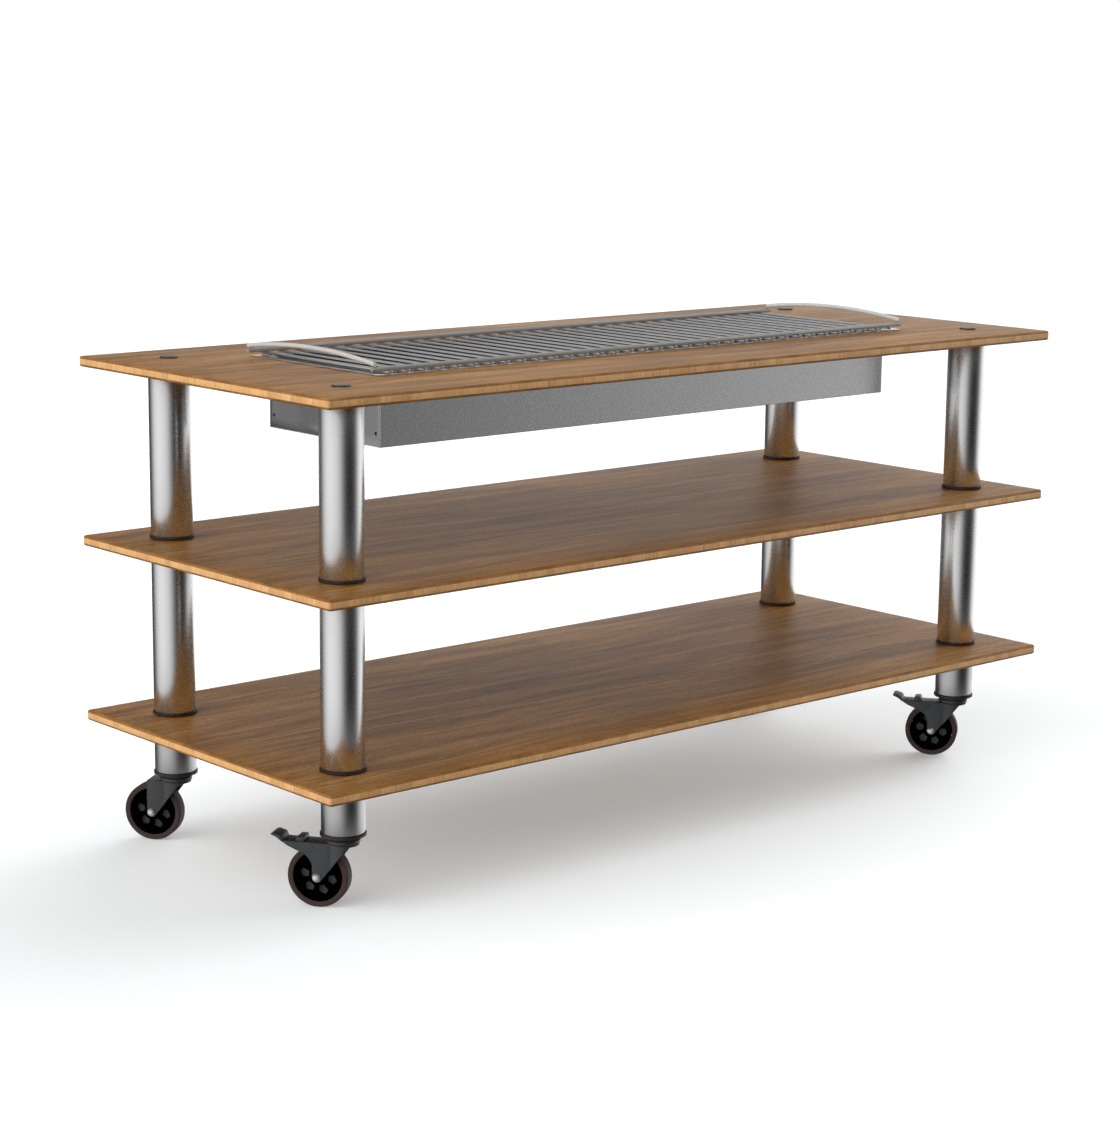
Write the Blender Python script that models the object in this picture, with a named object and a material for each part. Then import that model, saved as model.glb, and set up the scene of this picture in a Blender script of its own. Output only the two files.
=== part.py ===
# Rolling barbecue table: three boards on four stacked tube columns, swivel
# casters below, and a sheet-steel firebox with a lift-off grate let into the
# top board.
#
# Frame: metres, +Z up, +X along the length, -Y is the front.
# Origin: centre of the footprint, on the floor.

import math
import bpy
import bmesh
from mathutils import Matrix, Vector

# ------------------------------------------------------------- dimensions
LENGTH = 1.700            # boards, along X
WIDTH = 0.704             # boards, along Y
BOARD_T = 0.018
TOP_Z = (0.2265, 0.5322, 0.8380)   # upper faces: bottom shelf, middle shelf, top board
EDGE_CHAMFER = 0.0030
CORNER_CHAMFER = 0.0035
COL_X = 0.743             # column axes
COL_Y = 0.240

GAP = 0.0003              # clearance between pieces that touch

TUBE_R = 0.0355
TUBE_WALL = 0.0020
COLLAR_R = 0.0375
COLLAR_H = 0.0052
COLLAR_IN = TUBE_R + GAP
ROD_R = 0.0050
ROD_HOLE_R = 0.0060
CAP_R = 0.0153
CAP_H = 0.0026
FOOT_Z = 0.1204           # underside of each column's foot cap
FOOT_BASE = 0.0030
SEG = 16
WHEEL_SEG = 20

# caster, in its own frame: U trails behind the swivel axis, V is the axle
CASTER_YAW = math.radians(126.0)
WHEEL_R = 0.0505
WHEEL_W = 0.0245
RIM_R = 0.0412
TRAIL = 0.0394
SWIVEL_R = 0.0260
LEG_OUT = 0.0178
LEG_T = 0.0023
CROWN_TOP = 0.1080
CROWN_T = 0.0030
RACE_R = 0.0275
AXLE_R = 0.0058
AXLE_HOLE_R = 0.0062
AXLE_CAP_R = 0.0073
KINGPIN_R = 0.0052
KINGPIN_HOLE_R = 0.0058
PEDAL_U = 0.0452          # pedal pivot
PEDAL_Z = 0.0993
PEDAL_HALF = 0.0150

# firebox
BOX_X = 0.6000
BOX_Y = 0.1530
BOX_BOTTOM = 0.7184
FLANGE_X = 0.6215
FLANGE_Y = 0.1765
SHEET = 0.0015
CUT_MARGIN = 0.0020
SCREW_R = 0.0032

# cooking grate
BAR_COUNT = 35
BAR_PITCH = 0.0350
BAR_R = 0.0030
BAR_END = 0.1785
GRATE_Y = 0.0030           # the grate sits slightly towards the back
RAIL_R = 0.0040
RAIL_Y = 0.1710
RAIL_END = 0.6290
HANDLE_R = 0.0038
HANDLE_X = 0.6252
HANDLE_RISE = 0.0120

# charcoal grate
COAL_X = 0.5850
COAL_Y = 0.1350
COAL_TOP = 0.7440
COAL_T = 0.0020

FLANGE_Z0 = TOP_Z[2] + GAP
FLANGE_TOP = FLANGE_Z0 + SHEET
BAR_Z = FLANGE_TOP + GAP + BAR_R
RAIL_Z = BAR_Z + BAR_R + RAIL_R - 0.0017
HANDLE_Z = RAIL_Z + RAIL_R + GAP + HANDLE_R

CORNERS = {
    "front_left": (-1, -1),
    "front_right": (1, -1),
    "back_left": (-1, 1),
    "back_right": (1, 1),
}
BRAKED = ("front_left", "front_right")

for old in list(bpy.data.objects):
    bpy.data.objects.remove(old, do_unlink=True)

SCENE = bpy.context.scene.collection


# -------------------------------------------------------------- materials
def material(name, colour, roughness, metallic):
    mat = bpy.data.materials.new(name)
    mat.use_nodes = True
    shader = mat.node_tree.nodes["Principled BSDF"]
    shader.inputs["Base Color"].default_value = (*colour, 1.0)
    shader.inputs["Roughness"].default_value = roughness
    shader.inputs["Metallic"].default_value = metallic
    mat.diffuse_color = (*colour, 1.0)
    return mat


BAMBOO = dict(colour=(0.33, 0.19, 0.09), roughness=0.45, metallic=0.0)
STEEL = dict(colour=(0.62, 0.62, 0.62), roughness=0.25, metallic=1.0)
COLLAR = dict(colour=(0.030, 0.020, 0.018), roughness=0.55, metallic=0.0)
SHEET_STEEL = dict(colour=(0.42, 0.42, 0.42), roughness=0.40, metallic=1.0)
GRATE = dict(colour=(0.55, 0.55, 0.54), roughness=0.25, metallic=1.0)
COATED = dict(colour=(0.035, 0.040, 0.045), roughness=0.50, metallic=0.0)
BLACK = dict(colour=(0.008, 0.008, 0.009), roughness=0.50, metallic=0.0)
TYRE = dict(colour=(0.045, 0.028, 0.024), roughness=0.65, metallic=0.0)
CHROME = dict(colour=(0.80, 0.80, 0.80), roughness=0.12, metallic=1.0)


# ------------------------------------------------------------ mesh helpers
def mesh_from(bm, name):
    bmesh.ops.recalc_face_normals(bm, faces=bm.faces[:])
    me = bpy.data.meshes.new(name)
    bm.to_mesh(me)
    bm.free()
    return me


def box(x0, x1, y0, y1, z0, z1):
    bm = bmesh.new()
    bmesh.ops.create_cube(bm, size=1.0)
    bmesh.ops.scale(bm, vec=(x1 - x0, y1 - y0, z1 - z0), verts=bm.verts[:])
    bmesh.ops.translate(bm, vec=((x0 + x1) / 2, (y0 + y1) / 2, (z0 + z1) / 2), verts=bm.verts[:])
    return mesh_from(bm, "box")


def turned(profile, segments, axis="Z", phase=0.0):
    """Closed ring of revolution from (radius, height) points; radius 0 makes a pole."""
    bm = bmesh.new()
    rings = []
    for r, h in profile:
        if r < 1e-9:
            p = (0.0, 0.0, h) if axis == "Z" else (0.0, h, 0.0)
            rings.append([bm.verts.new(p)])
            continue
        ring = []
        for i in range(segments):
            a = phase + 2 * math.pi * i / segments
            c, s = r * math.cos(a), r * math.sin(a)
            ring.append(bm.verts.new((c, s, h) if axis == "Z" else (c, h, s)))
        rings.append(ring)
    pole_ended = len(rings[0]) == 1 and len(rings[-1]) == 1
    pairs = len(rings) - 1 if pole_ended else len(rings)
    for k in range(pairs):
        a, b = rings[k], rings[(k + 1) % len(rings)]
        for i in range(segments):
            j = (i + 1) % segments
            if len(a) == 1:
                bm.faces.new((a[0], b[i], b[j]))
            elif len(b) == 1:
                bm.faces.new((a[i], a[j], b[0]))
            else:
                bm.faces.new((a[i], a[j], b[j], b[i]))
    return mesh_from(bm, "turned")


def prism(points, lo, hi, axis):
    """Extruded outline. axis Y: points are (x, z). axis Z: points are (x, y). axis X: (y, z)."""
    def place(p, t):
        if axis == "Y":
            return (p[0], t, p[1])
        if axis == "Z":
            return (p[0], p[1], t)
        return (t, p[0], p[1])
    bm = bmesh.new()
    a = [bm.verts.new(place(p, lo)) for p in points]
    b = [bm.verts.new(place(p, hi)) for p in points]
    bm.faces.new(a)
    bm.faces.new(list(reversed(b)))
    n = len(points)
    for i in range(n):
        j = (i + 1) % n
        bm.faces.new((a[i], b[i], b[j], a[j]))
    return mesh_from(bm, "prism")


def combine(base, tool, operation):
    """Exact Boolean of two meshes, as a new mesh."""
    a = bpy.data.objects.new("shape_a", base)
    b = bpy.data.objects.new("shape_b", tool)
    SCENE.objects.link(a)
    SCENE.objects.link(b)
    mod = a.modifiers.new("Boolean", "BOOLEAN")
    mod.operation = operation
    mod.solver = "EXACT"
    mod.object = b
    bpy.context.view_layer.update()
    graph = bpy.context.evaluated_depsgraph_get()
    out = bpy.data.meshes.new_from_object(a.evaluated_get(graph))
    bpy.data.objects.remove(a, do_unlink=True)
    bpy.data.objects.remove(b, do_unlink=True)
    bm = bmesh.new()
    bm.from_mesh(out)
    bmesh.ops.remove_doubles(bm, verts=bm.verts[:], dist=1e-6)
    bmesh.ops.dissolve_limit(bm, angle_limit=math.radians(0.3), verts=bm.verts[:], edges=bm.edges[:])
    bm.to_mesh(out)
    bm.free()
    return out


def rod_mesh(points, radius, sides, phase=0.0):
    """Round bar swept along points that lie in one plane, with flat ends."""
    bm = bmesh.new()
    rings = []
    n = len(points)
    for k, p in enumerate(points):
        p = Vector(p)
        ahead = Vector(points[min(k + 1, n - 1)])
        behind = Vector(points[max(k - 1, 0)])
        t = (ahead - behind).normalized()
        if k in (0, n - 1):
            t = Vector((0, 1, 0))
        side = Vector((1, 0, 0))
        up = t.cross(side).normalized()
        ring = []
        for i in range(sides):
            a = phase + 2 * math.pi * i / sides
            ring.append(bm.verts.new(p + side * (radius * math.cos(a)) + up * (radius * math.sin(a))))
        rings.append(ring)
    bm.faces.new(rings[0])
    bm.faces.new(list(reversed(rings[-1])))
    for a, b in zip(rings, rings[1:]):
        for i in range(sides):
            j = (i + 1) % sides
            bm.faces.new((a[i], a[j], b[j], b[i]))
    return mesh_from(bm, "rod")


def add(name, mesh, look, location=(0, 0, 0), parent=None, smooth=True):
    me = mesh.copy()
    me.name = name
    obj = bpy.data.objects.new(name, me)
    SCENE.objects.link(obj)
    obj.location = location
    if parent is not None:
        obj.parent = parent
    me.materials.clear()
    me.materials.append(material(name, **look))
    if smooth:
        me.shade_smooth()
        me.set_sharp_from_angle(angle=math.radians(31))
    return obj


# ------------------------------------------------------------------ boards
def board(name, top, firebox_cut):
    bm = bmesh.new()
    bmesh.ops.create_cube(bm, size=1.0)
    bmesh.ops.scale(bm, vec=(LENGTH, WIDTH, BOARD_T), verts=bm.verts[:])
    bmesh.ops.translate(bm, vec=(0, 0, top - BOARD_T / 2), verts=bm.verts[:])
    upright = [e for e in bm.edges
               if abs(e.verts[0].co.z - e.verts[1].co.z) > BOARD_T / 2]
    bmesh.ops.bevel(bm, geom=upright, offset=CORNER_CHAMFER, segments=1, affect="EDGES")
    rims = [e for e in bm.edges
            if abs(e.verts[0].co.z - e.verts[1].co.z) < 1e-6]
    bmesh.ops.bevel(bm, geom=rims, offset=EDGE_CHAMFER, segments=1, affect="EDGES")
    me = mesh_from(bm, name)
    for sx, sy in CORNERS.values():
        hole = turned([(0, top - 0.04), (ROD_HOLE_R, top - 0.04), (ROD_HOLE_R, top + 0.02), (0, top + 0.02)], 12)
        hole.transform(Matrix.Translation((sx * COL_X, sy * COL_Y, 0)))
        me = combine(me, hole, "DIFFERENCE")
    if firebox_cut:
        me = combine(me, box(-BOX_X - CUT_MARGIN, BOX_X + CUT_MARGIN,
                             -BOX_Y - CUT_MARGIN, BOX_Y + CUT_MARGIN,
                             top - 0.04, top + 0.02), "DIFFERENCE")
    return add(name, me, BAMBOO, smooth=False)


board("bottom_shelf", TOP_Z[0], False)
board("middle_shelf", TOP_Z[1], False)
board("top_board", TOP_Z[2], True)


# ----------------------------------------------------------------- columns
def tube(z0, z1):
    return turned([(TUBE_R - TUBE_WALL, z0), (TUBE_R, z0), (TUBE_R, z1), (TUBE_R - TUBE_WALL, z1)], SEG)


def collar(z0):
    return turned([(COLLAR_IN, z0), (COLLAR_R, z0), (COLLAR_R, z0 + COLLAR_H), (COLLAR_IN, z0 + COLLAR_H)], SEG)


foot_top = FOOT_Z + FOOT_BASE
FOOT_CAP = turned([(0.0085, FOOT_Z), (COLLAR_R, FOOT_Z), (COLLAR_R, FOOT_Z + COLLAR_H),
                   (COLLAR_IN, FOOT_Z + COLLAR_H), (COLLAR_IN, foot_top), (0.0085, foot_top)], SEG)
UPPER_TUBE = tube(TOP_Z[1] + GAP, TOP_Z[2] - BOARD_T - GAP)
LOWER_TUBE = tube(TOP_Z[0] + GAP, TOP_Z[1] - BOARD_T - GAP)
STUB_TUBE = tube(foot_top + GAP, TOP_Z[0] - BOARD_T - GAP)
UPPER_COLLAR = collar(TOP_Z[1] + GAP)
LOWER_COLLAR = collar(TOP_Z[0] + GAP)

RACE_TOP = FOOT_Z - GAP
STEM_TOP = 0.1400
cap_z = TOP_Z[2] + GAP
TIE_ROD = turned([(0, STEM_TOP + GAP), (ROD_R, STEM_TOP + GAP), (ROD_R, cap_z), (CAP_R - 0.0006, cap_z),
                  (CAP_R, cap_z + 0.0006), (CAP_R, cap_z + CAP_H - 0.0008), (CAP_R - 0.0010, cap_z + CAP_H),
                  (0, cap_z + CAP_H)], SEG)
RACE = turned([(0, 0.0985), (0.0095, 0.0985), (0.0095, CROWN_TOP - CROWN_T - 0.0005),
               (KINGPIN_R, CROWN_TOP - CROWN_T - 0.0005), (KINGPIN_R, CROWN_TOP + 0.0005),
               (RACE_R - 0.0012, CROWN_TOP + 0.0005), (RACE_R, CROWN_TOP + 0.0025),
               (RACE_R, CROWN_TOP + 0.0058), (RACE_R - 0.0025, CROWN_TOP + 0.0080),
               (0.0240, CROWN_TOP + 0.0080), (0.0240, RACE_TOP),
               (0.0080, RACE_TOP), (0.0080, STEM_TOP), (0, STEM_TOP)], SEG)


# ----------------------------------------------------------------- casters
def arc(cx, cz, r, a0, a1, n):
    return [(cx + r * math.cos(math.radians(a0 + (a1 - a0) * i / n)),
             cz + r * math.sin(math.radians(a0 + (a1 - a0) * i / n))) for i in range(n + 1)]


def plan_outline(radius, half, far, n):
    """Round nose about the swivel axis, then two straight cheeks back to U = far."""
    start = math.degrees(math.asin(half / radius))
    pts = arc(0, 0, radius, start, 360 - start, n)
    return [(far, half)] + pts + [(far, -half)]


def fork_mesh(braked):
    toe = arc(TRAIL, WHEEL_R, 0.0077, -12, -118, 4)
    cut_foot = (0.0345, 0.0428)
    side = [(-0.0270, CROWN_TOP), (-0.0270, CROWN_TOP - CROWN_T), (-0.0142, CROWN_TOP - CROWN_T), cut_foot]
    side += list(reversed(toe))
    if braked:
        side += [(0.0471, 0.0700), (0.0494, 0.0778), (0.0572, 0.0862), (0.0695, 0.0924),
                 (0.0883, 0.1003), (0.0945, 0.1045), (0.0963, CROWN_TOP)]
        far = 0.12
    else:
        side += [(0.0471, 0.0700), (0.0471, CROWN_TOP)]
        far = 0.06
    body = prism(side, -0.04, 0.04, "Y")
    body = combine(body, prism(plan_outline(SWIVEL_R, LEG_OUT, far, 14), 0.03, 0.13, "Z"), "INTERSECT")
    inner = prism(plan_outline(SWIVEL_R - LEG_T, LEG_OUT - LEG_T, 0.2, 14), 0.0, CROWN_TOP - CROWN_T, "Z")
    body = combine(body, inner, "DIFFERENCE")
    if braked:
        body = combine(body, box(0.0300, 0.2, -(LEG_OUT - LEG_T), LEG_OUT - LEG_T, 0.09, 0.13), "DIFFERENCE")
    pin = turned([(0, 0.09), (KINGPIN_HOLE_R, 0.09), (KINGPIN_HOLE_R, 0.13), (0, 0.13)], 12)
    body = combine(body, pin, "DIFFERENCE")
    bore = turned([(0, -0.03), (AXLE_HOLE_R, -0.03), (AXLE_HOLE_R, 0.03), (0, 0.03)], 12, axis="Y")
    bore.transform(Matrix.Translation((TRAIL, 0, WHEEL_R)))
    return combine(body, bore, "DIFFERENCE")


def pedal_mesh():
    """Profile in U, Z about the pivot."""
    def about(pts):
        return [(u - PEDAL_U, z - PEDAL_Z) for u, z in pts]
    top = CROWN_TOP - 0.0002
    under = top - 0.0033
    plate = about([(0.0305, under), (0.0615, under), (0.0625, 0.0978), (0.0695, 0.0978), (0.0705, under),
                   (0.0985, under), (0.0985, top), (0.0750, top), (0.0738, 0.1152), (0.0622, 0.1152),
                   (0.0605, top), (0.0305, top)])
    lip = about([(0.0968, 0.1070), (0.1058, 0.1122), (0.1158, 0.1164), (0.1160, 0.1180), (0.1105, 0.1188),
                 (0.0990, 0.1153), (0.0968, 0.1130)])
    me = prism(plate, -PEDAL_HALF, PEDAL_HALF, "Y")
    return combine(me, prism(lip, -LEG_OUT, LEG_OUT, "Y"), "UNION")


def wheel_ring(points):
    """Turned about the axle, its flats tangent to the stated radii, one flat down."""
    grow = 1.0 / math.cos(math.pi / WHEEL_SEG)
    return turned([(r * grow, v) for r, v in points], WHEEL_SEG, axis="Y", phase=math.pi / WHEEL_SEG - math.pi / 2)


HALF_W = WHEEL_W / 2
TYRE_MESH = wheel_ring([(RIM_R, -HALF_W), (0.0465, -HALF_W), (WHEEL_R, -HALF_W + 0.0040),
                        (WHEEL_R, HALF_W - 0.0040), (0.0465, HALF_W), (RIM_R, HALF_W)])
HUB_MESH = wheel_ring([(AXLE_HOLE_R, -0.0150), (0.0120, -0.0150), (0.0120, -0.0116), (RIM_R - 0.0004, -0.0116),
                       (RIM_R - 0.0004, 0.0116), (0.0120, 0.0116), (0.0120, 0.0150), (AXLE_HOLE_R, 0.0150)])
cheek = LEG_OUT + GAP
AXLE_MESH = turned([(0, -cheek - 0.0052), (0.0045, -cheek - 0.0040), (AXLE_CAP_R, -cheek - 0.0010), (AXLE_CAP_R, -cheek),
                    (AXLE_R, -cheek), (AXLE_R, cheek), (AXLE_CAP_R, cheek), (AXLE_CAP_R, cheek + 0.0010),
                    (0.0045, cheek + 0.0040), (0, cheek + 0.0052)], 12, axis="Y")
FORK_PLAIN = fork_mesh(False)
FORK_BRAKED = fork_mesh(True)
PEDAL_MESH = pedal_mesh()

for name, (sx, sy) in CORNERS.items():
    here = (sx * COL_X, sy * COL_Y, 0.0)
    add("upper_tube_" + name, UPPER_TUBE, STEEL, here)
    add("lower_tube_" + name, LOWER_TUBE, STEEL, here)
    add("stub_tube_" + name, STUB_TUBE, STEEL, here)
    add("upper_collar_" + name, UPPER_COLLAR, COLLAR, here)
    add("lower_collar_" + name, LOWER_COLLAR, COLLAR, here)
    add("foot_cap_" + name, FOOT_CAP, COLLAR, here)
    add("tie_rod_" + name, TIE_ROD, STEEL, here)
    add("caster_race_" + name, RACE, COATED, here)

    swivel = bpy.data.objects.new("swivel_" + name, None)
    SCENE.objects.link(swivel)
    swivel.location = here
    swivel.rotation_euler = (0, 0, CASTER_YAW)
    braked = name in BRAKED
    add("caster_fork_" + name, FORK_BRAKED if braked else FORK_PLAIN, COATED, parent=swivel)
    axle_at = (TRAIL, 0, WHEEL_R)
    add("caster_axle_" + name, AXLE_MESH, CHROME, axle_at, swivel)
    add("wheel_hub_" + name, HUB_MESH, BLACK, axle_at, swivel)
    add("wheel_tyre_" + name, TYRE_MESH, TYRE, axle_at, swivel)
    if braked:
        add("brake_pedal_" + name, PEDAL_MESH, COATED, (PEDAL_U, 0, PEDAL_Z), swivel)

# ----------------------------------------------------------------- firebox
wall = BOX_Y - SHEET
trough = prism([(-BOX_Y, BOX_BOTTOM), (BOX_Y, BOX_BOTTOM), (BOX_Y, FLANGE_TOP), (wall, FLANGE_TOP),
                (wall, BOX_BOTTOM + SHEET), (-wall, BOX_BOTTOM + SHEET), (-wall, FLANGE_TOP), (-BOX_Y, FLANGE_TOP)],
               -BOX_X, BOX_X, "X")
for s in (-1, 1):
    y0, y1 = sorted((s * wall, s * FLANGE_Y))
    trough = combine(trough, box(-FLANGE_X, FLANGE_X, y0, y1, FLANGE_Z0, FLANGE_TOP), "UNION")
add("firebox_trough", trough, SHEET_STEEL, smooth=False)

SCREW_AT = ((-0.1405, 0.7950), (-0.1405, 0.7405), (0.1405, 0.7950), (0.1405, 0.7405))
for name, s in (("left", -1), ("right", 1)):
    half = wall - GAP
    panel = prism([(s * BOX_X, BOX_BOTTOM + SHEET + GAP), (s * (BOX_X - SHEET), BOX_BOTTOM + SHEET + GAP),
                   (s * (BOX_X - SHEET), FLANGE_TOP), (s * FLANGE_X, FLANGE_TOP), (s * FLANGE_X, FLANGE_Z0),
                   (s * BOX_X, FLANGE_Z0)], -half, half, "Y")
    for y, z in SCREW_AT:
        hole = turned([(0, -0.02), (SCREW_R, -0.02), (SCREW_R, 0.02), (0, 0.02)], 8)
        hole.transform(Matrix.Translation((s * BOX_X, y, z)) @ Matrix.Rotation(math.pi / 2, 4, "Y"))
        panel = combine(panel, hole, "DIFFERENCE")
    add("firebox_end_panel_" + name, panel, SHEET_STEEL, smooth=False)

# ----------------------------------------------------------- charcoal grate
def lattice(nx, ny, x, y, z0, z1):
    """Flat plate with nx by ny slots."""
    xs = [-x + 2 * x * i / (2 * nx + 1) for i in range(2 * nx + 2)]
    ys = [-y + 2 * y * i / (2 * ny + 1) for i in range(2 * ny + 2)]
    bm = bmesh.new()
    low = [[bm.verts.new((a, b, z0)) for b in ys] for a in xs]
    high = [[bm.verts.new((a, b, z1)) for b in ys] for a in xs]
    solid = {(i, j) for i in range(2 * nx + 1) for j in range(2 * ny + 1) if not (i % 2 and j % 2)}
    for i, j in solid:
        bm.faces.new((low[i][j], low[i][j + 1], low[i + 1][j + 1], low[i + 1][j]))
        bm.faces.new((high[i][j], high[i + 1][j], high[i + 1][j + 1], high[i][j + 1]))
        for (di, dj), (p, q) in (((-1, 0), ((i, j), (i, j + 1))), ((1, 0), ((i + 1, j + 1), (i + 1, j))),
                                 ((0, -1), ((i + 1, j), (i, j))), ((0, 1), ((i, j + 1), (i + 1, j + 1)))):
            if (i + di, j + dj) not in solid:
                bm.faces.new((low[p[0]][p[1]], low[q[0]][q[1]], high[q[0]][q[1]], high[p[0]][p[1]]))
    return mesh_from(bm, "lattice")


coal = lattice(9, 3, COAL_X, COAL_Y, COAL_TOP - COAL_T, COAL_TOP)
for s in (-1, 1):
    y0, y1 = sorted((s * (COAL_Y - COAL_T), s * COAL_Y))
    coal = combine(coal, box(-COAL_X, COAL_X, y0, y1, BOX_BOTTOM + SHEET + GAP, COAL_TOP - COAL_T / 2), "UNION")
add("charcoal_grate", coal, SHEET_STEEL, smooth=False)

# ------------------------------------------------------------ cooking grate
def straight_bar(axis, length, centre, radius, sides, phase):
    me = turned([(0, -length / 2), (radius, -length / 2), (radius, length / 2), (0, length / 2)], sides, phase=phase)
    turn = Matrix.Rotation(math.pi / 2, 4, "Y") if axis == "X" else Matrix.Rotation(-math.pi / 2, 4, "X")
    me.transform(Matrix.Translation(centre) @ turn)
    return me


def merged(meshes):
    bm = bmesh.new()
    for me in meshes:
        bm.from_mesh(me)
    return mesh_from(bm, "merged")


flat = 1.0 / math.cos(math.pi / 6)
bars = merged([straight_bar("Y", 2 * BAR_END, ((i - (BAR_COUNT - 1) / 2) * BAR_PITCH, GRATE_Y, BAR_Z), BAR_R * flat, 6, 0.0)
               for i in range(BAR_COUNT)])
flat8 = 1.0 / math.cos(math.pi / 8)
rails = merged([straight_bar("X", 2 * RAIL_END, (0, GRATE_Y + s * RAIL_Y, RAIL_Z), RAIL_R * flat8, 8, math.pi / 8) for s in (-1, 1)])
add("cooking_grate", combine(bars, rails, "UNION"), GRATE)

for name, s in (("left", -1), ("right", 1)):
    half = RAIL_Y + 0.0040
    radius = (half * half + HANDLE_RISE * HANDLE_RISE) / (2 * HANDLE_RISE)
    span = math.asin(half / radius)
    pts = []
    for k in range(13):
        a = -span + 2 * span * k / 12
        pts.append((s * HANDLE_X, GRATE_Y + radius * math.sin(a), HANDLE_Z + HANDLE_RISE - radius * (1 - math.cos(a))))
    add("grate_handle_" + name, rod_mesh(pts, HANDLE_R, 8, math.pi / 8), GRATE)
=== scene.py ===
import math
import bpy
import bmesh
from mathutils import Matrix, Vector


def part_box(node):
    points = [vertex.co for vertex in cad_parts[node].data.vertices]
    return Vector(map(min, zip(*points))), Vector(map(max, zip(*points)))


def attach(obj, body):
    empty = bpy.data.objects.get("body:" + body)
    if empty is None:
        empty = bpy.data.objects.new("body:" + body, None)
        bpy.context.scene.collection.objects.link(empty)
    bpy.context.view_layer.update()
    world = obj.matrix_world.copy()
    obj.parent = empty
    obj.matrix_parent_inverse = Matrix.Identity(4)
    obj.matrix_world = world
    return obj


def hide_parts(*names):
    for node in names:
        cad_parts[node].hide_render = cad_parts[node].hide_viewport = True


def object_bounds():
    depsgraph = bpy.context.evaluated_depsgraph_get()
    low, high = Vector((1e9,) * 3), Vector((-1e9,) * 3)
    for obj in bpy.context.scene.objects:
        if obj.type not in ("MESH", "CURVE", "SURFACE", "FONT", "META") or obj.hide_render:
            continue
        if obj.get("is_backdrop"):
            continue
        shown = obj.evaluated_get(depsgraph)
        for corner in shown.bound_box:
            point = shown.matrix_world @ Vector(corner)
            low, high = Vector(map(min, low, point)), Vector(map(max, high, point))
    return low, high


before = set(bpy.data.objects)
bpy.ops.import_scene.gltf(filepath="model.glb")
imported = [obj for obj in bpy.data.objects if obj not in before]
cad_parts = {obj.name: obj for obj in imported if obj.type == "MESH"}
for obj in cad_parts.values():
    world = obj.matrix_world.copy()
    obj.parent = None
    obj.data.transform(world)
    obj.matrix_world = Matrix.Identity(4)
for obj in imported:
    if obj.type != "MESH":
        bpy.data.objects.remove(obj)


def plain(value):
    return [plain(v) for v in value] if hasattr(value, "__len__") else float(value)


CAD_BOUNDS = plain(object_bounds())

# ---------------------------------------------------------------- camera
IMAGE_W, IMAGE_H = 1120, 1121
YAW, PITCH, ROLL = math.radians(41.5292), math.radians(-10.8142), math.radians(0.6367)
CAM_AT = Vector((-3.17789, -3.50234, 1.34300))
look = Vector((math.sin(YAW) * math.cos(PITCH), math.cos(YAW) * math.cos(PITCH), math.sin(PITCH)))
right = look.cross(Vector((0, 0, 1))).normalized()
up = right.cross(look)
right, up = (right * math.cos(ROLL) + up * math.sin(ROLL), up * math.cos(ROLL) - right * math.sin(ROLL))
cam_data = bpy.data.cameras.new("camera")
cam_data.sensor_fit = "AUTO"
cam_data.sensor_width = 36.0
cam_data.lens = 85.0
cam_data.clip_end = 200.0
camera = bpy.data.objects.new("camera", cam_data)
bpy.context.scene.collection.objects.link(camera)
m = Matrix.Identity(4)
for r in range(3):
    m[r][0], m[r][1], m[r][2], m[r][3] = right[r], up[r], -look[r], CAM_AT[r]
camera.matrix_world = m
bpy.context.scene.camera = camera
bpy.context.scene.view_settings.view_transform = "Standard"


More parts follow.
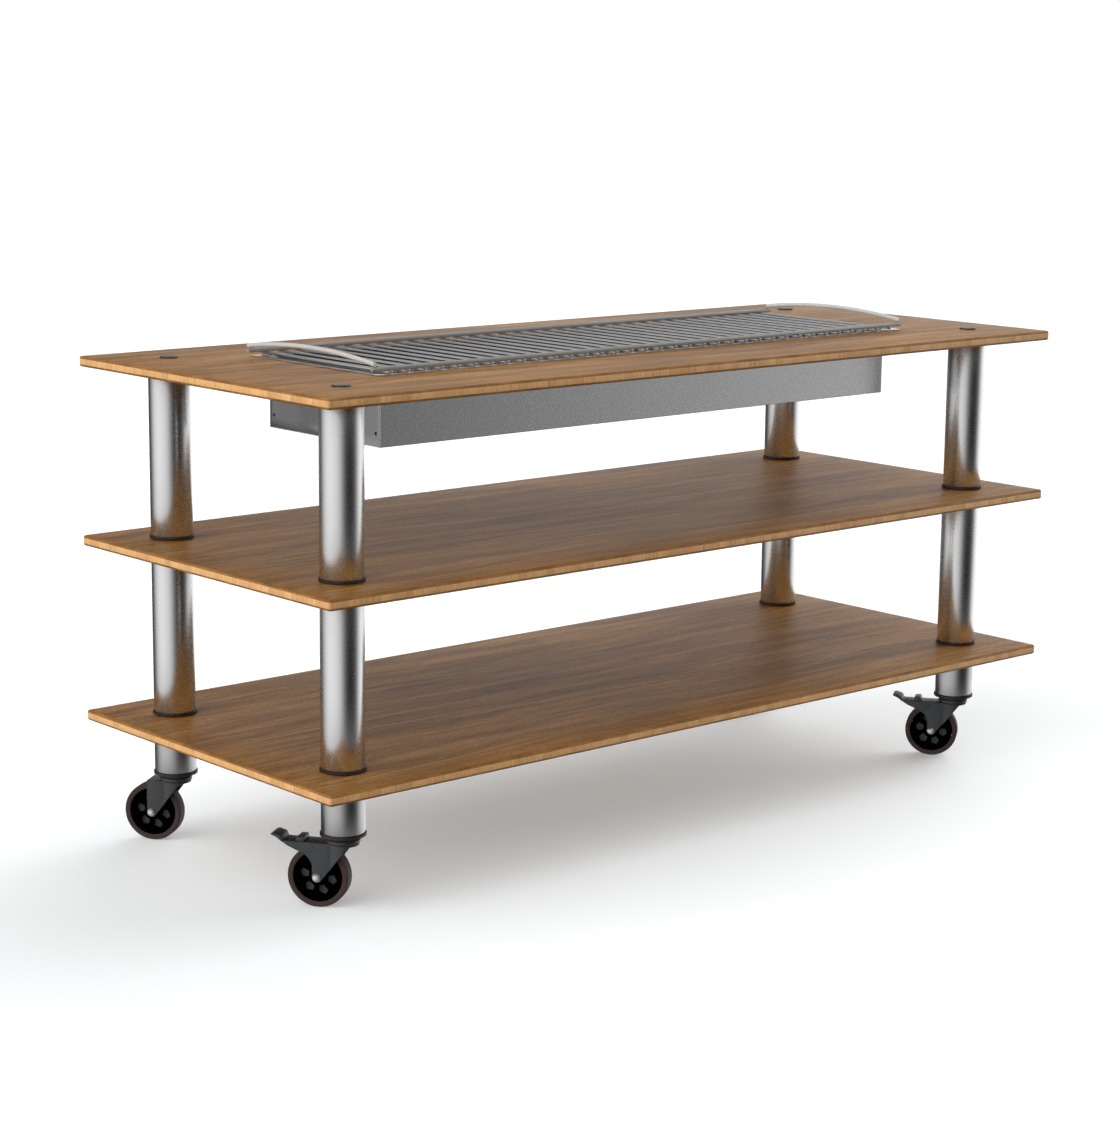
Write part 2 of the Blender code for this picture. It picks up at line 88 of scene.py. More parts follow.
# ------------------------------------------------------------ node helper
class Graph:
    """Small helper for building a node tree."""

    def __init__(self, tree):
        self.tree = tree

    def put(self, value, socket):
        if isinstance(value, bpy.types.NodeSocket):
            self.tree.links.new(value, socket)
        else:
            socket.default_value = value

    def node(self, kind, out=0, **inputs):
        n = self.tree.nodes.new(kind)
        for key, value in inputs.items():
            if key.startswith("_"):
                setattr(n, key[1:], value)
        for key, value in inputs.items():
            if not key.startswith("_"):
                name = key.replace("__", " ")
                self.put(value, n.inputs[int(name[1:])] if name[0] == "i" and name[1:].isdigit() else n.inputs[name])
        return n.outputs[out]

    def math(self, op, a, b=0.0, c=0.0, clamp=False):
        return self.node("ShaderNodeMath", _operation=op, _use_clamp=clamp, i0=a, i1=b, i2=c)

    def noise(self, vector, scale, detail=4.0, rough=0.5, distortion=0.0):
        return self.node("ShaderNodeTexNoise", Vector=vector, Scale=scale, Detail=detail, Roughness=rough, Distortion=distortion)

    def scaled(self, vector, factor, offset=(0, 0, 0)):
        return self.node("ShaderNodeMapping", Vector=vector, Scale=factor, Location=offset)

    def ramp(self, fac, stops, smooth=False):
        n = self.tree.nodes.new("ShaderNodeValToRGB")
        r = n.color_ramp
        r.interpolation = "B_SPLINE" if smooth == "b" else ("EASE" if smooth else "LINEAR")
        while len(r.elements) < len(stops):
            r.elements.new(0.5)
        for e, (p, c) in zip(r.elements, sorted(stops, key=lambda s: s[0])):
            e.position = p
            e.color = (c, c, c, 1.0) if isinstance(c, (int, float)) else (*c, 1.0)
        self.put(fac, n.inputs[0])
        return n.outputs[0]

    def range(self, value, a, b, c=0.0, d=1.0):
        return self.node("ShaderNodeMapRange", Value=value, From__Min=a, From__Max=b, To__Min=c, To__Max=d)

    def mix(self, fac, a, b, blend="MIX"):
        n = self.tree.nodes.new("ShaderNodeMix")
        n.data_type = "RGBA"
        n.blend_type = blend
        self.put(fac, n.inputs[0])
        for value, socket in ((a, n.inputs[6]), (b, n.inputs[7])):
            self.put((*value, 1.0) if isinstance(value, tuple) and len(value) == 3 else value, socket)
        return n.outputs[2]

    def bump(self, height, strength, distance, normal=None):
        n = self.tree.nodes.new("ShaderNodeBump")
        n.inputs["Strength"].default_value = strength
        n.inputs["Distance"].default_value = distance
        self.put(height, n.inputs["Height"])
        if normal is not None:
            self.put(normal, n.inputs["Normal"])
        return n.outputs[0]


def new_material(name):
    mat = bpy.data.materials.new(name)
    mat.use_nodes = True
    g = Graph(mat.node_tree)
    shader = mat.node_tree.nodes["Principled BSDF"]
    where = g.node("ShaderNodeTexCoord", out=3)
    return mat, g, shader, where


# -------------------------------------------------------------- materials
def wood_face():
    mat, g, s, where = new_material("bamboo_face")
    sep = g.node("ShaderNodeSeparateXYZ", Vector=where)
    y, z = sep.node.outputs[1], sep.node.outputs[2]
    warp = g.noise(g.scaled(where, (1.8, 6.0, 2.0)), 1.0, 3.0, 0.5)
    fine_warp = g.noise(g.scaled(where, (7.0, 16.0, 2.0)), 1.0, 2.0, 0.5)
    y2 = g.math("ADD", y, g.math("MULTIPLY", g.math("SUBTRACT", warp, 0.5), 0.075))
    y2 = g.math("ADD", y2, g.math("MULTIPLY", g.math("SUBTRACT", fine_warp, 0.5), 0.014))
    vec = g.node("ShaderNodeCombineXYZ", X=sep, Y=y2, Z=g.math("MULTIPLY", z, 0.02))
    zones = g.noise(g.scaled(vec, (1.3, 6.5, 1.0), (3.1, 0.4, 0)), 1.0, 2.0, 0.5)
    bands = g.noise(g.scaled(vec, (2.6, 30.0, 1.0), (0, 7.7, 0)), 1.0, 3.0, 0.55)
    streak = g.noise(g.scaled(vec, (7.0, 95.0, 1.0), (2.0, 1.3, 0)), 1.0, 4.0, 0.65)
    fibre = g.noise(g.scaled(vec, (34.0, 560.0, 1.0)), 1.0, 3.0, 0.65)
    fleck = g.noise(g.scaled(where, (230.0, 150.0, 1.0)), 1.0, 3.0, 0.7)
    tone = g.math("ADD", g.math("MULTIPLY", zones, 0.45),
                  g.math("ADD", g.math("MULTIPLY", bands, 0.95), g.math("MULTIPLY", streak, 0.85)))
    tone = g.math("ADD", tone, g.math("ADD", g.math("MULTIPLY", fibre, 0.55), g.math("MULTIPLY", fleck, 0.75)))
    tone = g.range(tone, 1.36, 2.19)
    colour = g.ramp(tone, [(0.0, (0.100, 0.039, 0.008)), (0.28, (0.190, 0.082, 0.018)), (0.50, (0.290, 0.132, 0.030)),
                           (0.72, (0.395, 0.190, 0.046)), (1.0, (0.580, 0.300, 0.082))])
    # pale glue lines and dark open pores
    lines = g.noise(g.scaled(vec, (1.1, 55.0, 1.0), (9.0, 4.0, 0)), 1.0, 2.0, 0.4)
    pale = g.range(lines, 0.62, 0.74)
    colour = g.mix(g.math("MULTIPLY", pale, 0.40), colour, (0.56, 0.33, 0.135))
    pores = g.noise(g.scaled(vec, (60.0, 260.0, 1.0), (5.0, 0, 0)), 1.0, 2.0, 0.5)
    pit = g.range(pores, 0.63, 0.74)
    colour = g.mix(g.math("MULTIPLY", pit, 0.50), colour, (0.045, 0.020, 0.008))
    g.put(colour, s.inputs["Base Color"])
    g.put(g.range(g.math("ADD", streak, fleck), 0.7, 1.3, 0.40, 0.52), s.inputs["Roughness"])
    s.inputs["Specular IOR Level"].default_value = 0.18
    height = g.math("ADD", g.math("MULTIPLY", fibre, 0.5), g.math("MULTIPLY", fleck, 0.6))
    height = g.math("SUBTRACT", height, g.math("MULTIPLY", pit, 0.6))
    g.put(g.bump(height, 0.45, 0.0006), s.inputs["Normal"])
    return mat


def wood_edge():
    mat, g, s, where = new_material("bamboo_edge")
    sep = g.node("ShaderNodeSeparateXYZ", Vector=where)
    run = g.math("ADD", sep, sep.node.outputs[1])
    z = sep.node.outputs[2]
    vec = g.node("ShaderNodeCombineXYZ", X=run, Y=0.0, Z=z)
    blocks = g.node("ShaderNodeTexVoronoi", out=1, _voronoi_dimensions="1D", W=run, Scale=48.0, Randomness=1.0)
    block = g.node("ShaderNodeSeparateColor", Color=blocks)
    strips = g.noise(g.scaled(vec, (230.0, 1.0, 14.0)), 1.0, 3.0, 0.6)
    fine = g.noise(g.scaled(vec, (900.0, 1.0, 55.0)), 1.0, 3.0, 0.6)
    tone = g.math("ADD", g.math("MULTIPLY", block, 0.25), g.math("ADD", g.math("MULTIPLY", strips, 0.9), g.math("MULTIPLY", fine, 0.45)))
    tone = g.range(tone, 0.42, 1.18)
    colour = g.ramp(tone, [(0.0, (0.42, 0.215, 0.082)), (0.45, (0.60, 0.325, 0.130)), (1.0, (0.76, 0.460, 0.200))])
    dots = g.node("ShaderNodeTexVoronoi", out=0, _voronoi_dimensions="2D", Vector=g.node("ShaderNodeCombineXYZ", X=run, Y=z, Z=0.0),
                  Scale=34.0, Randomness=1.0)
    dark = g.range(dots, 0.022, 0.036, 1.0, 0.0)
    colour = g.mix(g.math("MULTIPLY", dark, 0.85), colour, (0.06, 0.028, 0.014))
    g.put(colour, s.inputs["Base Color"])
    g.put(g.range(strips, 0.3, 0.7, 0.50, 0.62), s.inputs["Roughness"])
    s.inputs["Specular IOR Level"].default_value = 0.3
    g.put(g.bump(g.math("ADD", strips, g.math("MULTIPLY", dark, -0.8)), 0.3, 0.0003), s.inputs["Normal"])
    return mat


def wood_round():
    """The rounded arrises, coloured darker than the flat edge faces."""
    mat, g, s, where = new_material("bamboo_arris")
    sep = g.node("ShaderNodeSeparateXYZ", Vector=where)
    run = g.math("ADD", sep, sep.node.outputs[1])
    vec = g.node("ShaderNodeCombineXYZ", X=run, Y=0.0, Z=sep.node.outputs[2])
    slow = g.noise(g.scaled(vec, (18.0, 1.0, 60.0)), 1.0, 4.0, 0.6)
    fine = g.noise(g.scaled(vec, (240.0, 1.0, 60.0)), 1.0, 3.0, 0.6)
    tone = g.range(g.math("ADD", slow, g.math("MULTIPLY", fine, 0.4)), 0.45, 0.95)
    colour = g.ramp(tone, [(0.0, (0.150, 0.056, 0.008)), (0.5, (0.265, 0.108, 0.016)), (1.0, (0.400, 0.178, 0.034))])
    g.put(colour, s.inputs["Base Color"])
    g.put(g.range(slow, 0.3, 0.7, 0.40, 0.50), s.inputs["Roughness"])
    s.inputs["Specular IOR Level"].default_value = 0.4
    g.put(g.bump(fine, 0.25, 0.0003), s.inputs["Normal"])
    return mat


def metal(name, base, rough, grain_scale, grain, bump=0.0, bump_size=0.0002, stretch=(1, 1, 1), tint=(1, 1, 1), rough_var=0.04, metallic=1.0):
    mat, g, s, where = new_material(name)
    vec = g.scaled(where, stretch)
    fine = g.noise(vec, grain_scale, 3.0, 0.6)
    broad = g.noise(where, 9.0, 3.0, 0.5)
    lo = tuple(max(0.0, base * t * (1 - grain)) for t in tint)
    hi = tuple(min(1.0, base * t * (1 + grain)) for t in tint)
    colour = g.mix(g.range(fine, 0.3, 0.7), lo, hi)
    colour = g.mix(g.range(broad, 0.3, 0.7, 0.0, 0.12), colour, tuple(base * 0.8 * t for t in tint))
    g.put(colour, s.inputs["Base Color"])
    s.inputs["Metallic"].default_value = metallic
    g.put(g.range(g.math("ADD", g.math("MULTIPLY", fine, 0.6), g.math("MULTIPLY", broad, 0.4)), 0.3, 0.7, rough - rough_var, rough + rough_var),
          s.inputs["Roughness"])
    if bump:
        g.put(g.bump(fine, bump, bump_size), s.inputs["Normal"])
    return mat


def coat(name, colour, rough, grain_scale=1500.0, bump=0.15, spec=0.4, vary=0.25):
    mat, g, s, where = new_material(name)
    fine = g.noise(where, grain_scale, 3.0, 0.6)
    broad = g.noise(where, 30.0, 3.0, 0.5)
    lo = tuple(c * (1 - vary) for c in colour)
    hi = tuple(c * (1 + vary) for c in colour)
    c = g.mix(g.range(fine, 0.3, 0.7), lo, hi)
    c = g.mix(g.range(broad, 0.35, 0.7, 0.0, 0.25), c, tuple(x * 0.75 for x in colour))
    g.put(c, s.inputs["Base Color"])
    g.put(g.range(broad, 0.3, 0.7, rough - 0.05, rough + 0.05), s.inputs["Roughness"])
    s.inputs["Specular IOR Level"].default_value = spec
    g.put(g.bump(fine, bump, 0.0002), s.inputs["Normal"])
    return mat


FACE, EDGE, ARRIS = wood_face(), wood_edge(), wood_round()
TUBE = metal("brushed_tube", 0.76, 0.26, 620.0, 0.06, 0.22, 0.0002, rough_var=0.05)
# the stub tubes are the same brushed steel as the tubes above, painted darker as shade for the shadowed floor and shelf
# underside they reflect
SHADED_STUB_STEEL = metal("brushed_stub_painted_shade", 0.50, 0.30, 800.0, 0.06, 0.12, 0.0002, rough_var=0.05)
COLLAR = coat("dark_collar", (0.030, 0.019, 0.017), 0.45, spec=0.35)
SHEET = metal("firebox_sheet", 0.62, 0.18, 420.0, 0.18, 0.30, 0.0003)
END_SHEET = metal("end_panel_sheet", 0.37, 0.25, 420.0, 0.18, 0.30, 0.0003)
FLANGE = metal("flange_sheet", 0.80, 0.16, 400.0, 0.06, 0.05, 0.0001)
CHAR = metal("charcoal_sheet", 0.30, 0.50, 300.0, 0.30, 0.30, 0.0004, tint=(1.0, 0.95, 0.9))
BAR = metal("grate_bar", 0.72, 0.14, 500.0, 0.10, 0.05, 0.0001, stretch=(1, 0.1, 1))
RAIL = metal("grate_rail", 0.42, 0.42, 700.0, 0.06, 0.06, 0.0001, tint=(1.0, 0.985, 0.96), metallic=0.5)
HANDLE = metal("grate_handle", 0.66, 0.48, 700.0, 0.05, 0.06, 0.0001, tint=(1.0, 0.975, 0.94), metallic=0.3)
CAP = metal("rod_cap", 0.16, 0.40, 900.0, 0.12, 0.08, 0.0001)
COATED = coat("coated_steel", (0.028, 0.031, 0.035), 0.40, spec=0.5)
BLACK = coat("wheel_disc", (0.0005, 0.0005, 0.0006), 0.70, spec=0.0, bump=0.05)
POCKET = coat("wheel_pocket", (0.040, 0.045, 0.048), 0.60, spec=0.2, bump=0.2)
TYRE = coat("wheel_tread", (0.045, 0.027, 0.023), 0.60, 900.0, 0.12, spec=0.25)
CHROME = metal("bright_axle", 0.80, 0.42, 800.0, 0.03)
RAW = metal("cut_edge", 0.75, 0.35, 900.0, 0.10)
SCREW = metal("screw_head", 0.12, 0.45, 900.0, 0.15)


# --------------------------------------------------------------- geometry
def link(name, me, mats, body, replaces=(), sharp=31.0, bevel=None, segments=2, solidify=None):
    me.name = name
    obj = bpy.data.objects.new(name, me)
    bpy.context.scene.collection.objects.link(obj)
    for mat in mats:
        me.materials.append(mat)
    me.shade_smooth()
    me.set_sharp_from_angle(angle=math.radians(sharp))
    if solidify:
        mod = obj.modifiers.new("sheet", "SOLIDIFY")
        mod.thickness = solidify
        mod.offset = -1.0
        mod.use_even_offset = True
    if bevel:
        mod = obj.modifiers.new("edges", "BEVEL")
        mod.width = bevel
        mod.segments = segments
        mod.limit_method = "ANGLE"
        mod.angle_limit = math.radians(40)
        mod.harden_normals = True
        mod.use_clamp_overlap = True
    if replaces:
        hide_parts(*replaces)
    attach(obj, body)
    return obj


def finish_mesh(bm, name="mesh", recalc=True):
    if recalc:
        bmesh.ops.recalc_face_normals(bm, faces=bm.faces[:])
    me = bpy.data.meshes.new(name)
    bm.to_mesh(me)
    bm.free()
    return me


def turned(profile, segments, axis="Z", phase=0.0, slots=None):
    bm = bmesh.new()
    rings = []
    for r, h in profile:
        if r < 1e-9:
            rings.append([bm.verts.new((0.0, 0.0, h) if axis == "Z" else (0.0, h, 0.0))])
            continue
        ring = []
        for i in range(segments):
            a = phase + 2 * math.pi * i / segments
            c, s = r * math.cos(a), r * math.sin(a)
            ring.append(bm.verts.new((c, s, h) if axis == "Z" else (c, h, s)))
        rings.append(ring)
    open_ends = len(rings[0]) == 1 and len(rings[-1]) == 1
    for k in range(len(rings) - 1 if open_ends else len(rings)):
        a, b = rings[k], rings[(k + 1) % len(rings)]
        for i in range(segments):
            j = (i + 1) % segments
            if len(a) == 1:
                f = bm.faces.new((a[0], b[i], b[j]))
            elif len(b) == 1:
                f = bm.faces.new((a[i], a[j], b[0]))
            else:
                f = bm.faces.new((a[i], a[j], b[j], b[i]))
            if slots:
                f.material_index = slots[k]
    return finish_mesh(bm)


def rounded(profile, radius, steps=3, closed=True):
    """Rounds the corners of a 2D profile by the given radius."""
    out = []
    n = len(profile)
    for i, p in enumerate(profile):
        if not closed and i in (0, n - 1):
            out.append(p)
            continue
        a, b = Vector(profile[i - 1]), Vector(profile[(i + 1) % n])
        c = Vector(p)
        da, db = a - c, b - c
        la, lb = da.length, db.length
        if la < 1e-9 or lb < 1e-9:
            out.append(p)
            continue
        da, db = da / la, db / lb
        cosang = max(-1.0, min(1.0, da.dot(db)))
        ang = math.acos(cosang)
        if ang > math.radians(172):
            out.append(p)
            continue
        d = min(radius / math.tan(ang / 2), la * 0.45, lb * 0.45)
        r = d * math.tan(ang / 2)
        p0, p1 = c + da * d, c + db * d
        centre = c + (da + db).normalized() * (r / math.sin(ang / 2))
        v0, v1 = p0 - centre, p1 - centre
        sweep = math.atan2(v0.x * v1.y - v0.y * v1.x, v0.dot(v1))
        for k in range(steps + 1):
            t = sweep * k / steps
            ct, st = math.cos(t), math.sin(t)
            out.append((centre.x + v0.x * ct - v0.y * st, centre.y + v0.x * st + v0.y * ct))
    return out


def centre_of(node):
    lo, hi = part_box(node)
    return (lo + hi) / 2


def placed(me, at, yaw=0.0):
    me.transform(Matrix.Translation(at) @ Matrix.Rotation(yaw, 4, "Z"))
    return me


CORNERS = ("front_left", "front_right", "back_left", "back_right")
COLUMN = {n: Vector((centre_of("upper_tube_" + n).x, centre_of("upper_tube_" + n).y, 0.0)) for n in CORNERS}


# boards ------------------------------------------------------------------
def outline(hx, hy, radius, steps=6):
    pts = []
    for cx, cy, a0 in ((hx - radius, hy - radius, 0), (-hx + radius, hy - radius, 90),
                       (-hx + radius, -hy + radius, 180), (hx - radius, -hy + radius, 270)):
        for k in range(steps + 1):
            a = math.radians(a0 + 90 * k / steps)
            pts.append((cx + radius * math.cos(a), cy + radius * math.sin(a)))
    return pts


def board(node, cut=None):
    lo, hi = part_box(node)
    hx, hy = hi.x, hi.y
    z0, z1 = lo.z, hi.z
    corner, arris, steps = 0.0052, 0.0042, 4
    bm = bmesh.new()
    levels = []
    for k in range(steps + 1):
        a = math.radians(90 * k / steps)
        levels.append((arris * (1 - math.sin(a)), z1 - arris * (1 - math.cos(a))))
    for k in range(steps + 1):
        a = math.radians(90 - 90 * k / steps)
        levels.append((arris * (1 - math.sin(a)), z0 + arris * (1 - math.cos(a))))
    rings = [[bm.verts.new((x, y, z)) for x, y in outline(hx - d, hy - d, corner - d)] for d, z in levels]
    n = len(rings[0])
    for k in range(len(rings) - 1):
        for i in range(n):
            j = (i + 1) % n
            f = bm.faces.new((rings[k][i], rings[k][j], rings[k + 1][j], rings[k + 1][i]))
            f.material_index = 1 if k == steps else 2
    holes = []
    for c in COLUMN.values():
        holes.append([(c.x + 0.0060 * math.cos(math.tau * i / 24), c.y + 0.0060 * math.sin(math.tau * i / 24)) for i in range(24)])
    if cut:
        holes.append([(cut[0], cut[1]), (-cut[0], cut[1]), (-cut[0], -cut[1]), (cut[0], -cut[1])])
    walls = []
    for z, ring in ((z1, rings[0]), (z0, rings[-1])):
        edges = [bm.edges.get((ring[i], ring[(i + 1) % n])) for i in range(n)]
        loops = []
        for h in holes:
            vs = [bm.verts.new((x, y, z)) for x, y in h]
            loops.append(vs)
            edges += [bm.edges.new((vs[i], vs[(i + 1) % len(vs)])) for i in range(len(vs))]
        walls.append(loops)
        bmesh.ops.triangle_fill(bm, edges=edges, use_beauty=True, use_dissolve=False)
    for a, b in zip(*walls):
        for i in range(len(a)):
            j = (i + 1) % len(a)
            bm.faces.new((a[i], a[j], b[j], b[i])).material_index = 1
    return link("board_" + node, finish_mesh(bm), (FACE, EDGE, ARRIS), "table", (node,), sharp=50)


board("bottom_shelf")
board("middle_shelf")
board("top_board", cut=(0.602, 0.155))


# columns -----------------------------------------------------------------
def tube_piece(node):
    lo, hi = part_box(node)
    r = 0.0355
    prof = rounded([(r - 0.002, lo.z), (r, lo.z), (r, hi.z), (r - 0.002, hi.z)], 0.0004, 2)
    c = (lo + hi) / 2
    # stub tubes take the darkened copy of the tube steel, which is painted shade
    return link("steel_" + node, placed(turned(prof, 96), (c.x, c.y, 0)), (SHADED_STUB_STEEL if "stub" in node else TUBE,), "table", (node,))


def collar_piece(node):
    lo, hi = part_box(node)
    prof = rounded([(0.0356, lo.z), (0.0375, lo.z), (0.0375, hi.z), (0.0356, hi.z)], 0.0008, 3)
    c = (lo + hi) / 2
    return link("ring_" + node, placed(turned(prof, 96), (c.x, c.y, 0)), (COLLAR,), "table", (node,))


for n in CORNERS:
    for kind in ("upper_tube_", "lower_tube_", "stub_tube_"):
        tube_piece(kind + n)
    for kind in ("upper_collar_", "lower_collar_"):
        collar_piece(kind + n)
    lo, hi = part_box("foot_cap_" + n)
    z0, z1 = lo.z, hi.z
    prof = rounded([(0.0085, z0), (0.0375, z0), (0.0375, z1), (0.0356, z1), (0.0356, z0 + 0.003), (0.0085, z0 + 0.003)], 0.0008, 3)
    link("ring_foot_cap_" + n, placed(turned(prof, 96), COLUMN[n]), (COLLAR,), "table", ("foot_cap_" + n,))
    lo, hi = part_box("tie_rod_" + n)
    z0, z1 = lo.z, hi.z
    face = z1 - 0.0026
    head = [(0, z0), (0.005, z0), (0.005, face), (0.0150, face), (0.0153, face + 0.0004), (0.0153, z1 - 0.0009),
            (0.0150, z1 - 0.0003), (0.0142, z1), (0.0120, z1), (0, z1)]
    link("turned_tie_rod_" + n, placed(turned(head, 72), COLUMN[n]), (CAP,), "table", ("tie_rod_" + n,))

# plates ------------------------------------------------------------------
def inset(points, d):
    n = len(points)
    area2 = sum(points[i][0] * points[(i + 1) % n][1] - points[(i + 1) % n][0] * points[i][1] for i in range(n))
    side = 1.0 if area2 > 0 else -1.0
    out = []
    for i, p in enumerate(points):
        a, b = points[i - 1], points[(i + 1) % n]
        t1 = Vector((p[0] - a[0], p[1] - a[1])).normalized()
        t2 = Vector((b[0] - p[0], b[1] - p[1])).normalized()
        n1, n2 = Vector((-t1.y, t1.x)) * side, Vector((-t2.y, t2.x)) * side
        k = d / max(0.35, 1 + n1.dot(n2))
        out.append((p[0] + (n1.x + n2.x) * k, p[1] + (n1.y + n2.y) * k))
    return out


def circle(cx, cy, r, n):
    return [(cx + r * math.cos(math.tau * i / n), cy + r * math.sin(math.tau * i / n)) for i in range(n)]


def plate_into(bm, points, lo, hi, r, plane, holes=(), steps=3, slot=0):
    """Extruded outline whose rims are rounded by r. plane names the outline's two axes."""
    def place(p, t):
        return {"XZ": (p[0], t, p[1]), "XY": (p[0], p[1], t), "YZ": (t, p[0], p[1])}[plane]
    levels = []
    for k in range(steps + 1):
        a = math.radians(90 * k / steps)
        levels.append((r * (1 - math.sin(a)), lo + r * (1 - math.cos(a))))
    for k in range(steps + 1):
        a = math.radians(90 - 90 * k / steps)
        levels.append((r * (1 - math.sin(a)), hi - r * (1 - math.cos(a))))
    made = []
    rings = [[bm.verts.new(place(p, t)) for p in (inset(points, d) if d > 1e-9 else points)] for d, t in levels]
    n = len(points)
    for a, b in zip(rings, rings[1:]):
        for i in range(n):
            j = (i + 1) % n
            made.append(bm.faces.new((a[i], a[j], b[j], b[i])))
    if not holes:
        made.append(bm.faces.new(rings[0]))
        made.append(bm.faces.new(list(reversed(rings[-1]))))
    else:
        walls = []
        for t, ring in ((lo, rings[0]), (hi, rings[-1])):
            edges = [bm.edges.get((ring[i], ring[(i + 1) % n])) for i in range(n)]
            loops = []
            for h in holes:
                vs = [bm.verts.new(place(p, t)) for p in h]
                loops.append(vs)
                edges += [bm.edges.new((vs[i], vs[(i + 1) % len(vs)])) for i in range(len(vs))]
            walls.append(loops)
            got = bmesh.ops.triangle_fill(bm, edges=edges, use_beauty=True, use_dissolve=False)
            made += [f for f in got["geom"] if isinstance(f, bmesh.types.BMFace)]
        for a, b in zip(*walls):
            for i in range(len(a)):
                j = (i + 1) % len(a)
                made.append(bm.faces.new((a[i], a[j], b[j], b[i])))
    for f in made:
        f.material_index = slot
    return made


def turned_into(bm, me_or_profile, segments, matrix, slot=0, axis="Z", phase=0.0):
    me = turned(me_or_profile, segments, axis, phase)
    me.transform(matrix)
    n = len(bm.faces)
    bm.from_mesh(me)
    bm.faces.ensure_lookup_table()
    for f in bm.faces[n:]:
        f.material_index = slot
    bpy.data.meshes.remove(me)


# firebox -----------------------------------------------------------------
BOX_X, BOX_Y, BOX_BOTTOM = 0.6000, 0.1530, 0.7184
FLANGE_X, FLANGE_Y, SHEET_T = 0.6215, 0.1765, 0.0015
FL0, FL1 = 0.8383, 0.8398
SCREWS = ((-0.1405, 0.7950), (-0.1405, 0.7405), (0.1405, 0.7950), (0.1405, 0.7405))


def folded(path, thickness, radius, steps=5):
    """Closed outline of a bent sheet following an outer path, thickness to its left."""
    outer = rounded(path, radius, steps, closed=False)
    inner = []
    n = len(outer)
    for i, p in enumerate(outer):
        a = outer[max(i - 1, 0)]
        b = outer[min(i + 1, n - 1)]
        t1 = Vector((p[0] - a[0], p[1] - a[1]))
        t2 = Vector((b[0] - p[0], b[1] - p[1]))
        if t1.length < 1e-9:
            t1 = t2
        if t2.length < 1e-9:
            t2 = t1
        t1, t2 = t1.normalized(), t2.normalized()
        n1, n2 = Vector((-t1.y, t1.x)), Vector((-t2.y, t2.x))
        k = thickness / (1 + n1.dot(n2))
        inner.append((p[0] + (n1.x + n2.x) * k, p[1] + (n1.y + n2.y) * k))
    return outer + list(reversed(inner))


def firebox():
    bm = bmesh.new()
    # the trough: flange, wall, bottom, wall, flange in one bent sheet
    w = BOX_Y
    path = [(-FLANGE_Y + 0.0, FL0), (-w, FL0), (-w, BOX_BOTTOM), (w, BOX_BOTTOM), (w, FL0), (FLANGE_Y, FL0)]
    outline2 = folded(path, SHEET_T, 0.0012, 4)
    a = [bm.verts.new((-BOX_X, y, z)) for y, z in outline2]
    b = [bm.verts.new((BOX_X, y, z)) for y, z in outline2]
    n = len(a)
    for i in range(n):
        j = (i + 1) % n
        f = bm.faces.new((a[i], b[i], b[j], a[j]))
        zs = [v.co.z for v in f.verts]
        f.material_index = 1 if min(zs) > FL0 - 0.0002 else 0
    half = n // 2
    for ring in (a, b):
        for i in range(half - 1):
            bm.faces.new((ring[i], ring[i + 1], ring[n - 2 - i], ring[n - 1 - i])).material_index = 2
    # flange tips beyond the walls
    for s in (-1, 1):
        for t in (-1, 1):
            x0, x1 = sorted((s * BOX_X, s * FLANGE_X))
            y0, y1 = sorted((t * (BOX_Y + 0.0006), t * FLANGE_Y))
            plate_into(bm, [(x0, y0), (x1, y0), (x1, y1), (x0, y1)], FL0, FL1, 0.0002, "XY", steps=2, slot=1)
    link("sheet_firebox", finish_mesh(bm), (SHEET, FLANGE, RAW), "table", ("firebox_trough",), sharp=40)

    for name, s in (("left", -1), ("right", 1)):
        bm = bmesh.new()
        y1 = 0.1506
        holes = [circle(y, z, 0.0032, 24) for y, z in SCREWS]
        x0, x1 = sorted((s * BOX_X, s * (BOX_X - SHEET_T)))
        plate_into(bm, [(-y1, 0.7202), (y1, 0.7202), (y1, FL0 - 0.0008), (-y1, FL0 - 0.0008)], x0, x1, 0.0002, "YZ",
                   holes=holes, steps=2, slot=0)
        # bend and flange
        path = [(s * BOX_X, FL0 - 0.0008), (s * BOX_X, FL0), (s * FLANGE_X, FL0)]
        outer = rounded(path, 0.0006, 4, closed=False)
        prof = outer + [(s * FLANGE_X, FL1), (s * (BOX_X - SHEET_T) + s * 0.0012, FL1), (s * (BOX_X - SHEET_T) + s * 0.0004, FL1 - 0.0003),
                        (s * (BOX_X - SHEET_T), FL1 - 0.0012), (s * (BOX_X - SHEET_T), FL0 - 0.0008)]
        yy = 0.1512
        va = [bm.verts.new((x, -yy, z)) for x, z in prof]
        vb = [bm.verts.new((x, yy, z)) for x, z in prof]
        bm.faces.new(va)
        bm.faces.new(list(reversed(vb)))
        for i in range(len(va)):
            j = (i + 1) % len(va)
            bm.faces.new((va[i], vb[i], vb[j], va[j])).material_index = 1
        # pan-head screws sunk in the holes, each with a round socket
        for y, z in SCREWS:
            prof = [(0.0, -0.0016), (0.0014, -0.0016), (0.0014, -0.0004), (0.0019, -0.0002), (0.0026, -0.0005), (0.0029, -0.0011),
                    (0.0029, -0.0040), (0.0, -0.0040)]
            turned_into(bm, prof, 24, Matrix.Translation((s * BOX_X, y, z)) @ Matrix.Rotation(s * math.pi / 2, 4, "Y"), slot=2)
        link("sheet_end_panel_" + name, finish_mesh(bm), (END_SHEET, FLANGE, SCREW), "table", ("firebox_end_panel_" + name,), sharp=40)


# grates ------------------------------------------------------------------
BARS, PITCH, BAR_R, BAR_END = 35, 0.0350, 0.0030, 0.1785
GRATE_Y = 0.0030
BAR_Z = FL1 + 0.0003 + BAR_R
RAIL_R, RAIL_Y, RAIL_END = 0.0040, 0.1710, 0.6290
RAIL_Z = BAR_Z + BAR_R + RAIL_R - 0.0017
HANDLE_R, HANDLE_X, RISE = 0.0038, 0.6252, 0.0120
HANDLE_Z = RAIL_Z + RAIL_R + 0.0003 + HANDLE_R


